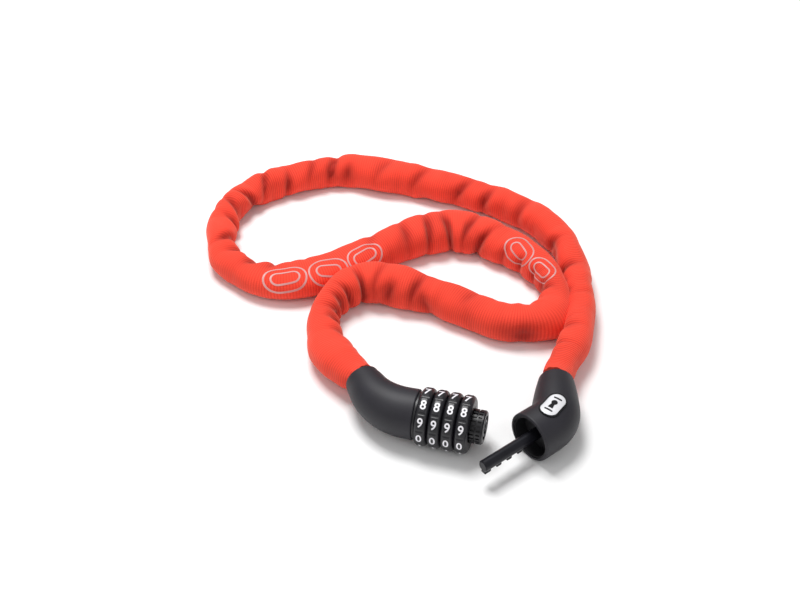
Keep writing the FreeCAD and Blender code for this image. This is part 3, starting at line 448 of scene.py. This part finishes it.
def webbing():
    """Woven polyester webbing: bright orange red, with weft ribs across the sleeve 1.35 mm
    apart and finer warp threads along it; sheen from the fibres' ends, painted shade in the rib
    valleys, and painted shade in the cloth's folds, which darkens its colour by the fold
    attribute."""
    new, tree, shader = material("woven_polyester_webbing", Roughness=0.82, Sheen_Weight=0.35,
                                 Sheen_Roughness=0.5)
    shader.inputs["Sheen Tint"].default_value = linear("#ffb09a")
    shader.inputs["Specular IOR Level"].default_value = 0.25
    uv = add(tree, "UVMap", uv_map="UVMap").outputs["UV"]
    split = add(tree, "SeparateXYZ", {"Vector": uv})
    along, round_it = split.outputs["X"], split.outputs["Y"]
    waver = add(tree, "TexNoise", {"Vector": uv, "Scale": 90.0, "Detail": 2.0})
    shifted = add(tree, "Math", {0: waver.outputs["Fac"], 1: 0.5 * MM, 2: along},
                  operation="MULTIPLY_ADD")
    ribs = add(tree, "Math", {0: add(tree, "Math", {0: shifted.outputs[0],
                                                    1: 2.0 * math.pi / (1.35 * MM)},
                                     operation="MULTIPLY").outputs[0]}, operation="SINE")
    threads = add(tree, "Math", {0: add(tree, "Math", {0: round_it,
                                                       1: 2.0 * math.pi / (0.9 * MM)},
                                        operation="MULTIPLY").outputs[0]}, operation="SINE")
    height = add(tree, "Math", {0: threads.outputs[0], 1: 0.22, 2: ribs.outputs[0]},
                 operation="MULTIPLY_ADD")
    fade = add(tree, "TexNoise", {"Vector": uv, "Scale": 22.0, "Detail": 2.0})
    strength = add(tree, "MapRange", {"Value": fade.outputs["Fac"], "From Min": 0.3,
                                      "From Max": 0.7, "To Min": 0.25, "To Max": 1.0})
    relief = add(tree, "Math", {0: height.outputs[0], 1: strength.outputs["Result"]},
                 operation="MULTIPLY")
    # Painted shade in the rib and thread valleys: the colour runs from a darker red where the
    # relief is low to the bright red where it is high.
    tone = add(tree, "MapRange", {"Value": relief.outputs[0], "From Min": -1.0, "From Max": 0.7})
    ramp = add(tree, "ValToRGB", {"Fac": tone.outputs["Result"]})
    ramp.color_ramp.elements[0].color = linear("#d93524")
    ramp.color_ramp.elements[1].color = linear("#f84a35")
    # Painted shade in the folds: the colour is multiplied towards a dull pink grey as far as the
    # fold attribute says.
    fold = add(tree, "Attribute", attribute_name="fold")
    shade = add(tree, "Mix", data_type="RGBA", blend_type="MULTIPLY")
    tree.links.new(fold.outputs["Fac"], shade.inputs["Factor"])
    tree.links.new(ramp.outputs["Color"], shade.inputs[6])
    shade.inputs[7].default_value = linear("#b08c8c")
    bump = add(tree, "Bump", {"Height": relief.outputs[0], "Strength": 0.45,
                              "Distance": 0.25 * MM})
    tree.links.new(shade.outputs[2], shader.inputs["Base Color"])
    tree.links.new(bump.outputs["Normal"], shader.inputs["Normal"])
    return new


webbing_cloth = webbing()


def dress_cad():
    """Every CAD node that shows gets the finish of its material slot."""
    for node in nodes.values():
        for place, held in enumerate(node.material_slots):
            slot = held.material.name.split(".")[0] if held.material else ""
            if slot in SLOT_FINISH:
                node.material_slots[place].material = SLOT_FINISH[slot]


dress_cad()


# ---------------------------------------------------------------- sleeve pieces
ROUND_COUNT = 80
SLEEVE_ROWS = 1150
CUFF_ROWS = 60
CUFF = 26.0 * MM
FREE_END = 3.0 * MM
UV_RADIUS = 8.9 * MM


def sleeve_piece(name, start, stop, rows):
    """One length of the sleeve, closed at each end by a disc inside, with UV in metres."""
    s = np.linspace(start, stop, rows)[:, None]
    angle = np.arange(ROUND_COUNT)[None, :] * (2.0 * math.pi / ROUND_COUNT)
    points = sleeve_point(s, angle).reshape(-1, 3)
    faces = grid_faces(rows, ROUND_COUNT).tolist()
    last = len(points)
    middles = np.stack([on_line(LINE, start), on_line(LINE, stop)])
    around = np.arange(ROUND_COUNT)
    after = (around + 1) % ROUND_COUNT
    end = last - ROUND_COUNT
    faces += np.stack([np.full_like(around, last), after, around], -1).tolist()
    faces += np.stack([np.full_like(around, last + 1), end + around, end + after], -1).tolist()
    item = new_object(name, np.vstack([points, middles]), np.array(faces, dtype=object))
    along = np.repeat(s.ravel(), ROUND_COUNT)
    turned = np.tile(angle.ravel(), rows)
    fold = np.minimum(turned, 2.0 * math.pi - turned) * UV_RADIUS
    set_uv(item, np.vstack([np.stack([along, fold], -1), [(start, 0.0), (stop, 0.0)]]))
    # Painted shade: each point's fold depth, kept for the webbing to darken its colour in the
    # folds.
    fold_shade = np.append(fold_depth(s, angle).ravel(), (0.0, 0.0))
    item.data.attributes.new("fold", "FLOAT", "POINT").data.foreach_set("value", fold_shade)
    ends = np.empty(len(item.data.edges) * 2, dtype=np.int32)
    item.data.edges.foreach_get("vertices", ends)
    ends = ends.reshape(-1, 2)
    rim = (ends < ROUND_COUNT).all(1) | ((ends >= end) & (ends < last)).all(1)
    sharp = item.data.attributes.new("sharp_edge", "BOOLEAN", "EDGE")
    sharp.data.foreach_set("value", rim)
    item.data.materials.append(webbing_cloth)
    return item


sleeve = sleeve_piece("sleeve_cloth", CUFF, LENGTH - CUFF, SLEEVE_ROWS)
lock_cuff = sleeve_piece("sleeve_lock_cuff", 0.0, CUFF, CUFF_ROWS)
bolt_cuff = sleeve_piece("sleeve_bolt_cuff", LENGTH - CUFF, LENGTH, CUFF_ROWS)
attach(sleeve, "chain")
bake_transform(lock_cuff)
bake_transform(bolt_cuff)
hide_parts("sleeve")


def make_chain():
    """The welded links inside the sleeve: each a stadium of wire, rolled 45 degrees one way
    and the next one the other way.

    A link's wire follows a stadium whose ends have radius eye + half the wire; the stadium's
    point at share t and its outward direction carry a circle of half the wire."""
    wire, eye, inside, count = 1.75 * MM, 3.1 * MM, 16.0 * MM, 57
    bend, side = eye + wire, 0.5 * inside - eye
    around = np.linspace(0.0, 2.0 * math.pi, 28, endpoint=False)
    out = np.stack([np.cos(around), np.sin(around)], -1)
    path = bend * out + np.stack([side * np.sign(np.round(out[:, 0], 6)), 0 * around], -1)
    circle = np.linspace(0.0, 2.0 * math.pi, 8, endpoint=False)
    flat = path[:, None, :] + wire * np.cos(circle)[None, :, None] * out[:, None, :]
    thick = np.broadcast_to(wire * np.sin(circle)[None, :], flat.shape[:2])
    s = np.linspace(FREE_END, LENGTH - FREE_END, count)
    middle, ahead = on_line(LINE, s), unit(on_line(AHEAD, s))
    middle[:, 2] -= settled(s)
    right = unit(np.cross(ahead, (0.0, 0.0, 1.0)))
    up = np.cross(right, ahead)
    odd = (np.arange(count) % 2 == 1)[:, None]
    rising, falling = unit(right + up), unit(up - right)
    wide, tall = np.where(odd, falling, rising), np.where(odd, -rising, falling)
    points = (middle[:, None, None, :] + flat[None, ..., :1] * ahead[:, None, None, :]
              + flat[None, ..., 1:] * wide[:, None, None, :]
              + thick[None, ..., None] * tall[:, None, None, :])
    rows, columns = flat.shape[:2]
    row = np.arange(rows)[:, None]
    column = np.arange(columns)[None, :]
    next_row, next_column = (row + 1) % rows, (column + 1) % columns
    quad = np.stack([row * columns + column, next_row * columns + column,
                     next_row * columns + next_column, row * columns + next_column], -1)
    faces = quad.reshape(1, -1, 4) + (np.arange(count) * rows * columns)[:, None, None]
    item = new_object("chain_links", points, faces.reshape(-1, 4))
    item.data.materials.append(zinc_plate)
    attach(item, "chain")
    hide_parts(*["chain_links_%d" % group for group in range(1, 8)])
    return item


chain_links = make_chain()

# ---------------------------------------------------------------- prints on the sleeve
INK_WIDTH = 0.95 * MM
INK_LIFT = 0.2 * MM
INK_STEP = 0.6 * MM
PRINT_RADIUS = 10.5 * MM


def pill(length, width, count=96):
    """A stadium's outline: half circles of half the width on the ends of a straight middle."""
    turn = np.linspace(0.0, 2.0 * math.pi, count, endpoint=False)
    x = 0.5 * width * np.cos(turn) + 0.5 * (length - width) * np.sign(np.round(np.cos(turn), 6))
    return np.stack([x, 0.5 * width * np.sin(turn)], -1)


def evenly(outline, step):
    """A closed outline's points again, an even step apart."""
    closed = np.vstack([outline, outline[:1]])
    at = np.concatenate([[0.0], np.cumsum(np.linalg.norm(np.diff(closed, axis=0), axis=1))])
    even = np.linspace(0.0, at[-1], int(at[-1] / step), endpoint=False)
    return np.stack([np.interp(even, at, closed[:, 0]), np.interp(even, at, closed[:, 1])], -1)


def ink_ring(outline):
    """A closed band of ink: at each point of the outline a low flat bar across it."""
    ahead = unit(np.roll(outline, -1, 0) - np.roll(outline, 1, 0))
    across = np.stack([-ahead[:, 1], ahead[:, 0]], -1) * 0.5 * INK_WIDTH
    flat = np.stack([outline - across, outline - across, outline + across, outline + across], 1)
    lift = np.broadcast_to(np.array([-1, 1, 1, -1]) * INK_LIFT, flat.shape[:2])
    return flat, lift


def sleeve_print(name, at, middle, marks):
    """Outlined pills on the sleeve, wrapped round it: across the print becomes angle over
    radius. Each mark is (along, round, length, width, tilt in degrees)."""
    points, faces, count = [], [], 0
    for along, rise, length, width, tilt in marks:
        lean = math.radians(tilt)
        turn = np.array([[math.cos(lean), math.sin(lean)], [-math.sin(lean), math.cos(lean)]])
        outline = evenly(pill(length * MM, width * MM), INK_STEP) @ turn
        flat, lift = ink_ring(outline)
        s = (at + along) * MM + flat[..., 0]
        angle = math.radians(middle) + (rise * MM + flat[..., 1]) / PRINT_RADIUS
        points.append(sleeve_point(s, angle, lift).reshape(-1, 3))
        rows = len(outline)
        row, column = np.arange(rows)[:, None], np.arange(4)[None, :]
        below, beside = (row + 1) % rows, (column + 1) % 4
        quad = np.stack([row * 4 + column, below * 4 + column, below * 4 + beside,
                         row * 4 + beside], -1)
        faces.append(quad.reshape(-1, 4) + count)
        count += rows * 4
    item = new_object(name, np.vstack(points), np.vstack(faces), smooth=False)
    face_out(item.data)
    item.data.materials.append(grey_ink)
    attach(item, "chain")
    return item


# A plain generic print: nested slanted pills, each (along, round, length, width, tilt).
PILLS = [(0, 0, 21, 15, 10), (0, 0, 14, 7, 10), (22.5, 0.5, 21, 16, -18),
         (22.5, 0.5, 13, 6.5, -18), (45, 0, 21, 15, 10), (45, 0, 14, 7, 10)]
left_print = sleeve_print("left_print", 372.0, 130.0, PILLS)
right_print = sleeve_print("right_print", 240.0, 122.0, PILLS[:4])

# ---------------------------------------------------------------- digits
DIAL_X = [sum(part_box("dial_%d" % k)[end][0] for end in (0, 1)) / 2 for k in (1, 2, 3, 4)]
DIAL_RADIUS = 15.0 * MM
NINE_AT = 32.0
DIGIT_STEP = -36.0
DIGIT_HEIGHT = 5.0 * MM
DIGIT_NARROW = 0.92
DIGIT_BANDS = 12


def flat_digit(text):
    """A rounded bold digit as a mesh in its own plane, cut into bands so that it can bend."""
    curve = bpy.data.curves.new("digit", "FONT")
    curve.body = text
    curve.align_x = "CENTER"
    curve.size = 1.0
    curve.offset = 0.012
    curve.extrude = 0.012
    curve.resolution_u = 6
    holder = bpy.data.objects.new("digit", curve)
    bpy.context.scene.collection.objects.link(holder)
    bpy.context.view_layer.update()
    mesh = bpy.data.meshes.new_from_object(holder)
    bpy.data.objects.remove(holder)
    cut = bmesh.new()
    cut.from_mesh(mesh)
    low = min(v.co.y for v in cut.verts)
    high = max(v.co.y for v in cut.verts)
    middle = 0.5 * (min(v.co.x for v in cut.verts) + max(v.co.x for v in cut.verts))
    for step in range(1, DIGIT_BANDS):
        level = low + (high - low) * step / DIGIT_BANDS
        bmesh.ops.bisect_plane(cut, geom=cut.verts[:] + cut.edges[:] + cut.faces[:],
                               plane_co=(0, level, 0), plane_no=(0, 1, 0))
    bmesh.ops.triangulate(cut, faces=cut.faces[:])
    points = np.array([v.co[:] for v in cut.verts])
    faces = np.array([[v.index for v in f.verts] for f in cut.faces])
    cut.free()
    bpy.data.meshes.remove(mesh)
    points[:, 0] -= middle
    points[:, 1] -= 0.5 * (low + high)
    points[:, :2] *= DIGIT_HEIGHT / (high - low)
    points[:, 0] *= DIGIT_NARROW
    points[:, 2] = np.where(points[:, 2] > 0, 0.1 * MM, -0.25 * MM)
    return points, faces


def digit_band(number, x):
    """The ten digits of one dial, each bent round it: height becomes angle over radius."""
    all_points, all_faces, count = [], [], 0
    for digit in range(10):
        points, faces = FLAT_DIGITS[digit]
        middle = math.radians(NINE_AT + DIGIT_STEP * (digit - 9))
        angle = middle + points[:, 1] / DIAL_RADIUS
        radius = DIAL_RADIUS + points[:, 2]
        all_points.append(np.stack([x + points[:, 0], -radius * np.cos(angle),
                                    radius * np.sin(angle)], -1))
        all_faces.append(faces + count)
        count += len(points)
    band = new_object("dial_%d_digits" % number, np.vstack(all_points), np.vstack(all_faces),
                      smooth=False)
    band.data.materials.append(white_ink)
    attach(band, "dial_%d" % number)


FLAT_DIGITS = [flat_digit(str(digit)) for digit in range(10)]
for index, x in enumerate(DIAL_X):
    digit_band(index + 1, x)


# ---------------------------------------------------------------- badge
BADGE_HEADING = math.radians(70.1)
MARK_ABOVE = 0.26 * MM
MARK_BELOW = 0.2 * MM


def badge_mark():
    """A keyhole between two bars: flat outlines dropped straight down on the plate's top."""
    low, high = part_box("badge_plate")
    middle = (np.array(low) + np.array(high)) / 2.0
    ahead = np.array([math.cos(BADGE_HEADING), math.sin(BADGE_HEADING), 0.0])
    aside = np.array([-ahead[1], ahead[0], 0.0])
    turn = np.linspace(0.0, 2.0 * math.pi, 40, endpoint=False)
    ring = np.stack([np.cos(turn), np.sin(turn)], -1)
    shaft = np.linspace(0.0, 1.0, 9)[:, None]
    left, right = (1.4, 0.6) + shaft * (-4.4, 0.75), (1.4, -0.6) + shaft * (-4.4, -0.75)
    bar = pill(4.6, 0.9, 24)[:, ::-1]
    shapes = [ring * 1.6 + (1.4, 0.0), np.vstack([left, right[::-1]]), bar + (4.9, 0.0),
              bar - (4.7, 0.0)]
    plate = nodes["badge_plate"]
    tree = BVHTree.FromPolygons([v.co for v in plate.data.vertices],
                                [p.vertices for p in plate.data.polygons])
    points, faces, count = [], [], 0
    for shape in shapes:
        place = middle + shape[:, :1] * MM * ahead + shape[:, 1:] * MM * aside
        place[:, 2] = [tree.ray_cast(Vector((x, y, high[2] + MM)), Vector((0, 0, -1)))[0].z
                       for x, y in place[:, :2]]
        points += [place + (0, 0, MARK_ABOVE), place - (0, 0, MARK_BELOW)]
        size = len(shape)
        faces += [[count + k for k in range(size)],
                  [count + size + k for k in reversed(range(size))]]
        faces += [[count + (k + 1) % size, count + k, count + size + k,
                   count + size + (k + 1) % size] for k in range(size)]
        count += 2 * size
    mesh = bpy.data.meshes.new("badge_keyhole")
    mesh.from_pydata(np.vstack(points).tolist(), [], faces)
    face_out(mesh)
    item = bpy.data.objects.new("badge_keyhole", mesh)
    bpy.context.scene.collection.objects.link(item)
    item.data.materials.append(gloss_trim)
    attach(item, "bolt_end")


badge_mark()


# ---------------------------------------------------------------- floor and lights
def make_floor():
    """A plain pale sheet under the lock."""
    reach = 3.0
    sheet = new_object("floor", [(-reach, -reach, FLOOR), (reach, -reach, FLOOR),
                                 (reach, reach, FLOOR), (-reach, reach, FLOOR)],
                       [(0, 1, 2, 3)])
    paper, _, _ = material("matt_white_paper", Roughness=0.9)
    paper.node_tree.nodes["Principled BSDF"].inputs["Base Color"].default_value = linear("#f6f6f6")
    sheet.data.materials.append(paper)


def make_light(name, place, target, width, power):
    """A square soft box that faces a point."""
    data = bpy.data.lights.new(name, "AREA")
    data.size = width
    data.energy = power
    lamp = bpy.data.objects.new(name, data)
    lamp.location = place
    lamp.rotation_euler = (Vector(target) - Vector(place)).to_track_quat("-Z", "Y").to_euler()
    bpy.context.scene.collection.objects.link(lamp)


def make_world():
    """An even pale surround."""
    world = bpy.data.worlds.new("studio")
    world.use_nodes = True
    sky = world.node_tree.nodes["Background"]
    sky.inputs["Color"].default_value = (1.0, 1.0, 1.0, 1.0)
    sky.inputs["Strength"].default_value = 0.36
    bpy.context.scene.world = world


make_floor()
make_world()
make_light("key", (-0.35, 0.35, 1.05), (-0.06, 0.08, 0.0), 0.5, 12.0)
make_light("fill", (0.7, -0.5, 0.75), (0.0, 0.05, 0.0), 0.9, 2.4)
make_light("front", (-0.6, -0.6, 0.8), (-0.05, 0.1, 0.0), 0.8, 1.8)
bpy.context.scene.view_settings.view_transform = "Standard"
